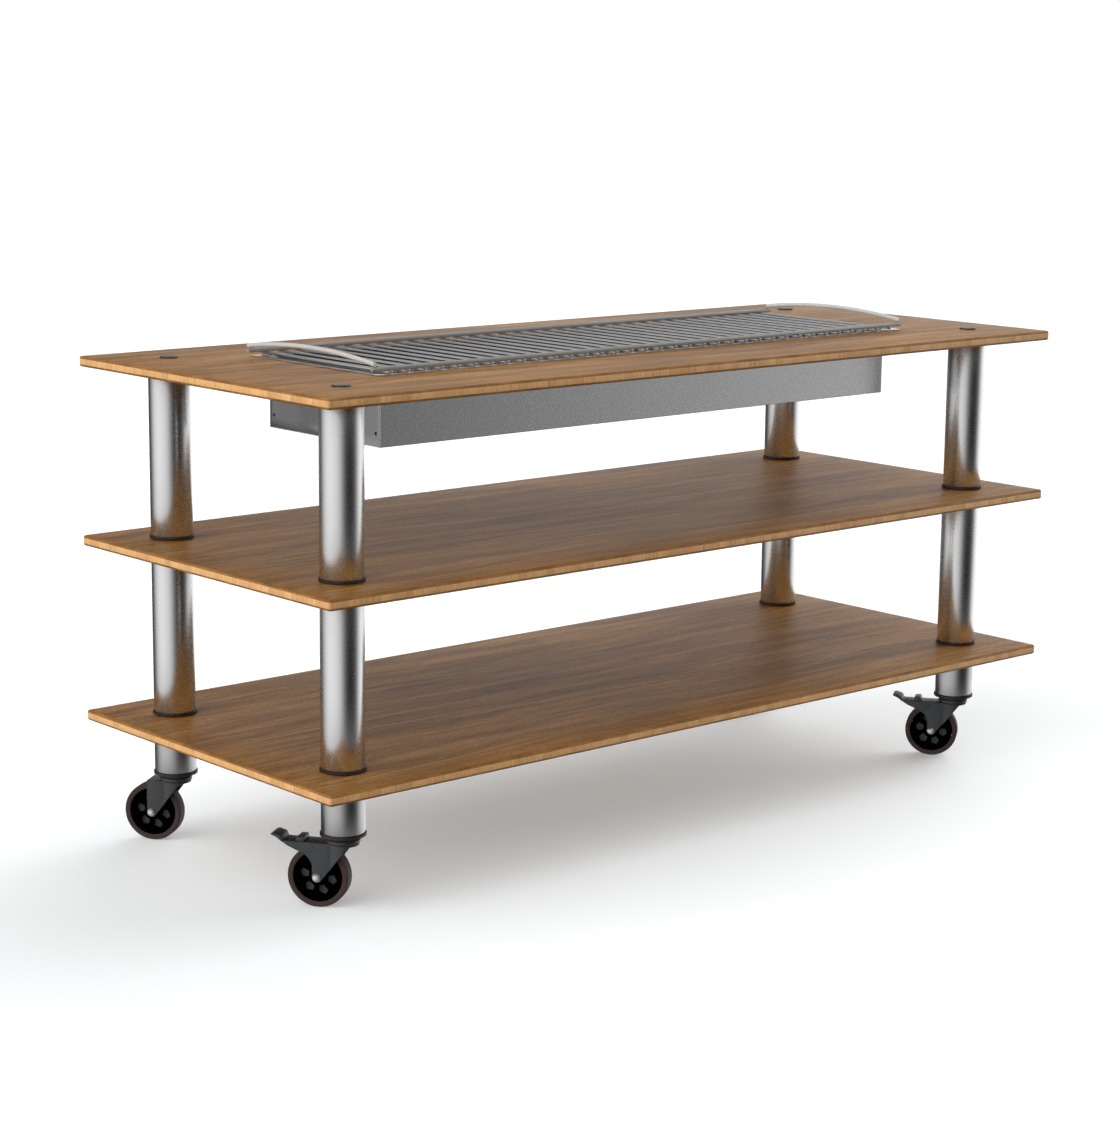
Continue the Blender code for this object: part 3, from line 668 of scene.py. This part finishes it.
def bar_profile(r, half, nose):
    return [(0, -half), (r - nose, -half), (r - nose * 0.3, -half + nose * 0.3), (r, -half + nose),
            (r, half - nose), (r - nose * 0.3, half - nose * 0.3), (r - nose, half), (0, half)]


def grates():
    bm = bmesh.new()
    for i in range(BARS):
        x = (i - (BARS - 1) / 2) * PITCH
        turned_into(bm, bar_profile(BAR_R, BAR_END, 0.0006), 20,
                    Matrix.Translation((x, GRATE_Y, BAR_Z)) @ Matrix.Rotation(-math.pi / 2, 4, "X"), slot=0)
    for s in (-1, 1):
        turned_into(bm, bar_profile(RAIL_R, RAIL_END, 0.0004), 32,
                    Matrix.Translation((0, GRATE_Y + s * RAIL_Y, RAIL_Z)) @ Matrix.Rotation(math.pi / 2, 4, "Y"), slot=1)
        # small weld fillets where each rod meets the rail
        for i in range(BARS):
            x = (i - (BARS - 1) / 2) * PITCH
            turned_into(bm, [(0, -0.0036), (0.0012, -0.0033), (0.0021, -0.0020), (0.0024, 0), (0.0021, 0.0020), (0.0012, 0.0033), (0, 0.0036)], 10,
                        Matrix.Translation((x, GRATE_Y + s * RAIL_Y, BAR_Z + BAR_R - 0.0003)) @ Matrix.Rotation(math.pi / 2, 4, "Y"), slot=1)
    link("rods_cooking_grate", finish_mesh(bm), (BAR, RAIL), "cooking_grate", ("cooking_grate",), sharp=40)

    half = RAIL_Y + 0.0040
    radius = (half * half + RISE * RISE) / (2 * RISE)
    span = math.asin(half / radius)
    for name, s in (("left", -1), ("right", 1)):
        bm = bmesh.new()
        rings = []
        count = 48
        for k in range(-1, count + 2):
            kk = min(max(k, 0), count)
            a = -span + 2 * span * kk / count
            p = Vector((s * HANDLE_X, GRATE_Y + radius * math.sin(a), HANDLE_Z + RISE - radius * (1 - math.cos(a))))
            t = Vector((0, math.cos(a), -math.sin(a)))
            if kk in (0, count):
                t = Vector((0, 1, 0))
            upv = Vector((1, 0, 0)).cross(t)
            r = HANDLE_R - (0.0004 if k in (-1, count + 1) else 0.0)
            q = p + t * (0.0 if k in (-1, count + 1) else (0.0004 if kk == 0 else (-0.0004 if kk == count else 0.0)))
            rings.append([bm.verts.new(q + Vector((1, 0, 0)) * (r * math.cos(math.tau * i / 28)) + upv * (r * math.sin(math.tau * i / 28))) for i in range(28)])
        bm.faces.new(rings[0])
        bm.faces.new(list(reversed(rings[-1])))
        for a, b in zip(rings, rings[1:]):
            for i in range(28):
                j = (i + 1) % 28
                bm.faces.new((a[i], a[j], b[j], b[i]))
        link("bent_handle_" + name, finish_mesh(bm), (HANDLE,), "cooking_grate", ("grate_handle_" + name,), sharp=40)

    # charcoal grate: slotted plate on two skirts
    bm = bmesh.new()
    X, Y, TOP, T = 0.5850, 0.1350, 0.7440, 0.0020
    slots_x, slots_y = 9, 3
    xs = [-X + 2 * X * i / (2 * slots_x + 1) for i in range(2 * slots_x + 2)]
    ys = [-Y + 2 * Y * i / (2 * slots_y + 1) for i in range(2 * slots_y + 2)]
    holes = []
    for i in range(1, 2 * slots_x + 1, 2):
        for j in range(1, 2 * slots_y + 1, 2):
            hole = rounded([(xs[i], ys[j]), (xs[i + 1], ys[j]), (xs[i + 1], ys[j + 1]), (xs[i], ys[j + 1])], 0.008, 4)
            holes.append(hole)
    plate_into(bm, [(-X, -Y), (X, -Y), (X, Y), (-X, Y)], TOP - T, TOP, 0.0004, "XY", holes=holes, steps=2)
    for s in (-1, 1):
        y0, y1 = sorted((s * (Y - T), s * Y))
        plate_into(bm, [(y0, BOX_BOTTOM + SHEET_T + 0.0003), (y1, BOX_BOTTOM + SHEET_T + 0.0003), (y1, TOP - T / 2), (y0, TOP - T / 2)],
                   -X, X, 0.0003, "YZ", steps=2)
    link("plate_charcoal_grate", finish_mesh(bm), (CHAR,), "charcoal_grate", ("charcoal_grate",), sharp=40)


# casters -----------------------------------------------------------------
YAW_C = math.radians(126.0)
WHEEL_R, WHEEL_W, RIM_R, TRAIL = 0.0505, 0.0245, 0.0412, 0.0394
NOSE_R, LEG_OUT, LEG_T = 0.0260, 0.0178, 0.0023
CROWN_TOP, CROWN_T = 0.1080, 0.0030
PEDAL_U, PEDAL_Z = 0.0452, 0.0993


def arc_points(cx, cz, r, a0, a1, n):
    return [(cx + r * math.cos(math.radians(a0 + (a1 - a0) * i / n)),
             cz + r * math.sin(math.radians(a0 + (a1 - a0) * i / n))) for i in range(n + 1)]


def skirt_low(u):
    (u0, z0), (u1, z1) = (-0.0142, CROWN_TOP - CROWN_T), (0.0345, 0.0428)
    return min(z0, z0 + (z1 - z0) * (u - u0) / (u1 - u0))


def fork_piece(bm, braked):
    crease = NOSE_R * math.cos(math.asin(LEG_OUT / NOSE_R))
    # cheeks
    toe = arc_points(TRAIL, WHEEL_R, 0.0077, -118, -8, 10)
    side = [(crease - 0.0012, CROWN_TOP - 0.0004), (crease - 0.0012, skirt_low(crease - 0.0012)), (0.0345, 0.0428)] + toe[1:]
    if braked:
        tail = [(0.0471, 0.0600), (0.0471, 0.0705), (0.0494, 0.0778), (0.0572, 0.0862), (0.0695, 0.0924), (0.0883, 0.1003),
                (0.0945, 0.1045), (0.0963, CROWN_TOP - 0.0004)]
        side += rounded([toe[-1]] + tail, 0.008, 4, closed=False)[1:]
    else:
        side += rounded([toe[-1], (0.0471, 0.0600), (0.0471, CROWN_TOP - 0.0030), (0.0440, CROWN_TOP - 0.0004)], 0.003, 4, closed=False)[1:]
    for s in (-1, 1):
        v0, v1 = sorted((s * (LEG_OUT - LEG_T), s * LEG_OUT))
        plate_into(bm, side, v0, v1, 0.00055, "XZ", holes=[circle(TRAIL, WHEEL_R, 0.0062, 28)], steps=3)
    # crown
    half = LEG_OUT
    start = math.degrees(math.asin(half / NOSE_R))
    far = 0.0300 if braked else 0.0466
    crown = [(far, half - 0.0003)] + arc_points(0, 0, NOSE_R, start, 360 - start, 48) + [(far, -half + 0.0003)]
    plate_into(bm, crown, CROWN_TOP - CROWN_T, CROWN_TOP, 0.0012, "XY", holes=[circle(0, 0, 0.0058, 28)], steps=4)
    # skirt under the round nose
    rings = []
    for k in range(61):
        a = math.radians(start + (360 - 2 * start) * k / 60)
        low = skirt_low(NOSE_R * math.cos(a))
        low = min(low, CROWN_TOP - CROWN_T + 0.0004)
        c, s = math.cos(a), math.sin(a)
        prof = [(NOSE_R, CROWN_TOP - 0.0016), (NOSE_R, low + 0.0005), (NOSE_R - 0.0005, low), (NOSE_R - LEG_T + 0.0005, low),
                (NOSE_R - LEG_T, low + 0.0005), (NOSE_R - LEG_T, CROWN_TOP - 0.0016)]
        rings.append([bm.verts.new((r * c, r * s, z)) for r, z in prof])
    for a, b in zip(rings, rings[1:]):
        for i in range(6):
            j = (i + 1) % 6
            bm.faces.new((a[i], a[j], b[j], b[i]))
    bm.faces.new(rings[0])
    bm.faces.new(list(reversed(rings[-1])))
    # rivets at the pedal pivot, dished in the middle
    if braked:
        for s in (-1, 1):
            prof = [(0, 0.0001), (0.0012, 0.0001), (0.0019, 0.0006), (0.0029, 0.0006), (0.0034, 0.0001), (0.0034, -0.0010), (0, -0.0010)]
            turned_into(bm, prof, 24, Matrix.Translation((PEDAL_U, s * LEG_OUT, PEDAL_Z)) @ Matrix.Rotation(-s * math.pi / 2, 4, "X"), slot=0)


def hub_piece(bm):
    """Disc with six five-sided pockets in each face."""
    face, deep, rim = 0.0116, 0.0036, RIM_R - 0.0004
    phase = math.radians(HUB_PHASE)
    for s in (-1, 1):
        outer = circle(0, 0, rim - 0.0010, 96)
        inner = circle(0, 0, 0.0132, 48)
        pockets = []
        for k in range(6):
            a = phase + math.tau * k / 6
            cx, cy = 0.0230 * math.cos(a), 0.0230 * math.sin(a)
            pts = []
            for q in range(5):
                b = a + math.tau * q / 5
                pts.append((cx + 0.0098 * math.cos(b), cy + 0.0098 * math.sin(b)))
            pockets.append(rounded(pts, 0.0014, 3))

        def ring_of(points, v):
            return [bm.verts.new((p[0], s * v, p[1])) for p in points]
        loops = [ring_of(outer, face), ring_of(inner, face)] + [ring_of(p, face) for p in pockets]
        edges = []
        for lp in loops:
            edges += [bm.edges.new((lp[i], lp[(i + 1) % len(lp)])) for i in range(len(lp))]
        bmesh.ops.triangle_fill(bm, edges=edges, use_beauty=True, use_dissolve=False)
        for lp, pts in zip(loops[2:], pockets):
            lower = ring_of(inset(pts, 0.0006), deep)
            for i in range(len(lp)):
                j = (i + 1) % len(lp)
                bm.faces.new((lp[i], lp[j], lower[j], lower[i]))
            bm.faces.new(lower).material_index = 1
        # shoulder to the rim and the raised boss
        edge = ring_of(circle(0, 0, rim, 96), face - 0.0010)
        for i in range(96):
            j = (i + 1) % 96
            bm.faces.new((loops[0][i], loops[0][j], edge[j], edge[i]))
        prev = loops[1]
        for r, v in ((0.0124, face + 0.0006), (0.0120, face + 0.0014), (0.0120, 0.0144), (0.0114, 0.0150), (0.0062, 0.0150)):
            ring = ring_of(circle(0, 0, r, 48), v)
            for i in range(48):
                j = (i + 1) % 48
                bm.faces.new((prev[i], prev[j], ring[j], ring[i]))
            prev = ring
        if s < 0:
            first_edge, first_bore = edge, prev
        else:
            for i in range(96):
                j = (i + 1) % 96
                bm.faces.new((first_edge[i], first_edge[j], edge[j], edge[i]))
            for i in range(48):
                j = (i + 1) % 48
                bm.faces.new((first_bore[i], first_bore[j], prev[j], prev[i]))


HUB_PHASE = 10.5


def casters():
    half = WHEEL_W / 2
    tyre = rounded([(RIM_R, -half), (0.0492, -half), (WHEEL_R, -half + 0.0018), (WHEEL_R, half - 0.0018), (0.0492, half), (RIM_R, half)], 0.0009, 3)
    cheek = LEG_OUT + 0.0003
    dome = []
    for k in range(9):
        a = math.radians(90 * k / 8)
        dome.append((0.0070 * math.sin(a), 0.0010 + 0.0042 * math.cos(a)))
    tip = [(r if r > 1e-7 else 0.0, -cheek - h) for r, h in dome]
    axle = tip + [(0.0073, -cheek - 0.0008), (0.0073, -cheek), (0.0058, -cheek), (0.0058, cheek), (0.0073, cheek), (0.0073, cheek + 0.0008)]
    axle += [(r if r > 1e-7 else 0.0, cheek + h) for r, h in reversed(dome)]
    for n in CORNERS:
        here = Matrix.Translation(COLUMN[n]) @ Matrix.Rotation(YAW_C, 4, "Z")
        hub_at = here @ Matrix.Translation((TRAIL, 0, WHEEL_R))
        braked = n.startswith("front")

        bm = bmesh.new()
        fork_piece(bm, braked)
        me = finish_mesh(bm)
        me.transform(here)
        link("pressed_fork_" + n, me, (COATED,), "swivel_" + n, ("caster_fork_" + n,), sharp=40)

        me = turned(axle, 40, axis="Y")
        me.transform(hub_at)
        link("turned_axle_" + n, me, (CHROME,), "swivel_" + n, ("caster_axle_" + n,), sharp=40)

        bm = bmesh.new()
        hub_piece(bm)
        me = finish_mesh(bm)
        me.transform(hub_at)
        link("moulded_hub_" + n, me, (BLACK, POCKET), "wheel_" + n, ("wheel_hub_" + n,), sharp=30)

        me = turned(tyre, 128, axis="Y")
        me.transform(hub_at)
        link("moulded_tyre_" + n, me, (TYRE,), "wheel_" + n, ("wheel_tyre_" + n,), sharp=35)

        # swivel head: two pressed rings with a washer between them and the foot cap
        lo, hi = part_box("caster_race_" + n)
        race = [(0, 0.0985), (0.0088, 0.0985), (0.0095, 0.0992), (0.0095, CROWN_TOP - CROWN_T - 0.0005), (0.0052, CROWN_TOP - CROWN_T - 0.0005),
                (0.0052, CROWN_TOP + 0.0005)]
        race += rounded([(0.0052, CROWN_TOP + 0.0005), (0.0262, CROWN_TOP + 0.0005), (0.0275, CROWN_TOP + 0.0018), (0.0275, CROWN_TOP + 0.0060),
                         (0.0262, CROWN_TOP + 0.0072), (0.0246, CROWN_TOP + 0.0076), (0.0246, CROWN_TOP + 0.0084), (0.0264, CROWN_TOP + 0.0090),
                         (0.0264, CROWN_TOP + 0.0112), (0.0250, 0.1200), (0.0080, 0.1200)], 0.0006, 2, closed=False)[1:]
        race += [(0.0080, 0.1400), (0, 0.1400)]
        me = placed(turned(race, 72), COLUMN[n])
        link("pressed_race_" + n, me, (COATED,), "table", ("caster_race_" + n,), sharp=40)

        if braked:
            bm = bmesh.new()
            top = CROWN_TOP - 0.0002
            under = top - 0.0033
            # tread plate, brake lug, stiffening rib and upturned lip
            plate_into(bm, [(0.0305, -0.0150), (0.0985, -0.0150), (0.0985, 0.0150), (0.0305, 0.0150)], under, top, 0.0008, "XY", steps=3)
            plate_into(bm, rounded([(0.0615, under + 0.001), (0.0625, 0.0978), (0.0695, 0.0978), (0.0705, under + 0.001)], 0.0010, 3),
                       -0.0146, 0.0146, 0.0006, "XZ", steps=2)
            rib = rounded([(0.0605, top - 0.001), (0.0622, 0.1152), (0.0738, 0.1152), (0.0750, top - 0.001)], 0.0018, 4)
            plate_into(bm, rib, -0.0150, 0.0150, 0.0008, "XZ", steps=3)
            lip = rounded([(0.0968, 0.1050), (0.1058, 0.1122), (0.1158, 0.1164), (0.1160, 0.1180), (0.1105, 0.1188), (0.0990, 0.1153), (0.0955, 0.1076)],
                          0.0016, 4)
            plate_into(bm, lip, -0.0176, 0.0176, 0.0008, "XZ", steps=3)
            # raised grip lines across the tread
            for u in (0.0400, 0.0460, 0.0520, 0.0800, 0.0850, 0.0900):
                plate_into(bm, rounded([(u - 0.0010, top - 0.0005), (u + 0.0010, top - 0.0005), (u + 0.0007, top + 0.0008), (u - 0.0007, top + 0.0008)], 0.0003, 2),
                           -0.0125, 0.0125, 0.0004, "XZ", steps=2)
            me = finish_mesh(bm)
            me.transform(here)
            link("pressed_pedal_" + n, me, (COATED,), "pedal_" + n, ("brake_pedal_" + n,), sharp=40)


firebox()
grates()
casters()

# ------------------------------------------------------------------ stage
floor_mesh = bpy.data.meshes.new("floor")
S = 40.0
floor_mesh.from_pydata([(-S, -S, -0.0002), (S, -S, -0.0002), (S, S, -0.0002), (-S, S, -0.0002)], [], [(0, 1, 2, 3)])
floor = bpy.data.objects.new("floor", floor_mesh)
bpy.context.scene.collection.objects.link(floor)
fmat, g, s, where = new_material("floor")
spots = g.noise(where, 3.0, 3.0, 0.5)
g.put(g.mix(g.range(spots, 0.3, 0.7), (0.850, 0.875, 0.888), (0.860, 0.885, 0.898)), s.inputs["Base Color"])
s.inputs["Roughness"].default_value = 0.9
s.inputs["Specular IOR Level"].default_value = 0.0
s.inputs["Emission Color"].default_value = (1.0, 1.0, 1.0, 1.0)
s.inputs["Emission Strength"].default_value = 0.22
floor_mesh.materials.append(fmat)
floor.visible_glossy = False
floor.visible_diffuse = False
floor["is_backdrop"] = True

# studio: bright soft walls to the left and right, dark gaps towards the front and the back.
# Mirror-like surfaces see the walls as they are; matt ones see a softer version of them.
world = bpy.data.worlds.new("studio")
bpy.context.scene.world = world
world.use_nodes = True
world.cycles.sampling_method = "NONE"
g = Graph(world.node_tree)
back = world.node_tree.nodes["Background"]
sep = g.node("ShaderNodeSeparateXYZ", Vector=g.node("ShaderNodeTexCoord", out=0))
az = g.math("ARCTAN2", sep.node.outputs[1], sep)
turn = g.math("FRACT", g.math("ADD", g.math("DIVIDE", az, math.tau), 1.0))
BANDS = [(-180, 1.00), (-163, 0.93), (-147, 0.80), (-134, 0.60), (-124, 0.33), (-113, 0.12), (-102, 0.025), (-85, 0.010), (-70, 0.030),
         (-60, 0.08), (-52, 0.17), (-44, 0.42), (-36, 0.72), (-30, 0.90), (-20, 1.10), (-5, 1.30), (15, 1.25), (35, 1.25), (50, 1.15), (58, 0.50),
         (66, 0.08), (85, 0.05), (102, 0.07), (112, 0.18), (124, 0.45), (138, 0.75), (155, 0.96), (170, 1.02)]
SOFT = [(-180, 1.00), (-163, 0.93), (-147, 0.80), (-134, 0.60), (-124, 0.33), (-113, 0.12), (-102, 0.025), (-85, 0.010), (-70, 0.030),
         (-60, 0.09), (-50, 0.26), (-40, 0.58), (-30, 0.90), (-20, 1.10), (-5, 1.30), (15, 1.20), (35, 1.00), (50, 0.75), (58, 0.22), (66, 0.07),
         (85, 0.05), (102, 0.07), (112, 0.18), (124, 0.45), (138, 0.75), (155, 0.96), (170, 1.02)]
# a colour ramp holds at most 1.0, so the walls are stored at two thirds
stops = sorted(((a % 360) / 360.0, v / 1.5) for a, v in BANDS)
stops = [(0.0, 1.27 / 1.5)] + stops + [(1.0, 1.27 / 1.5)]
soft_stops = [(0.0, 1.27 / 1.5)] + sorted(((a % 360) / 360.0, v / 1.5) for a, v in SOFT) + [(1.0, 1.27 / 1.5)]
walls = g.math("MULTIPLY", g.ramp(turn, stops), 1.5)
lamps = g.math("MULTIPLY", g.ramp(turn, soft_stops), 1.5)
z = sep.node.outputs[2]


def blend_value(fac, a, b):
    return g.math("ADD", g.math("MULTIPLY", a, g.math("SUBTRACT", 1.0, fac)), g.math("MULTIPLY", b, fac))


shiny = blend_value(g.range(z, 0.12, 0.55), walls, 0.42)
shiny = blend_value(g.range(z, -0.65, -0.35, 1.0, 0.0), shiny, 0.30)
wide = g.math("POWER", lamps, 1.5)
above = g.math("ADD", g.math("MULTIPLY", wide, 3.47), 0.058)
above = blend_value(g.range(z, 0.35, 0.95), above, 0.463)
below = g.math("ADD", g.math("MULTIPLY", g.math("MULTIPLY", wide, 2.89), g.range(z, -0.6, 0.0)), 0.058)
matt = blend_value(g.math("GREATER_THAN", z, 0.0), below, above)
path = g.node("ShaderNodeLightPath", out=0)
light = blend_value(path.node.outputs["Is Diffuse Ray"], shiny, matt)
g.put(blend_value(path, light, 1.0), back.inputs["Color"])
back.inputs["Strength"].default_value = 1.0

VISUAL_BOUNDS = plain(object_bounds())
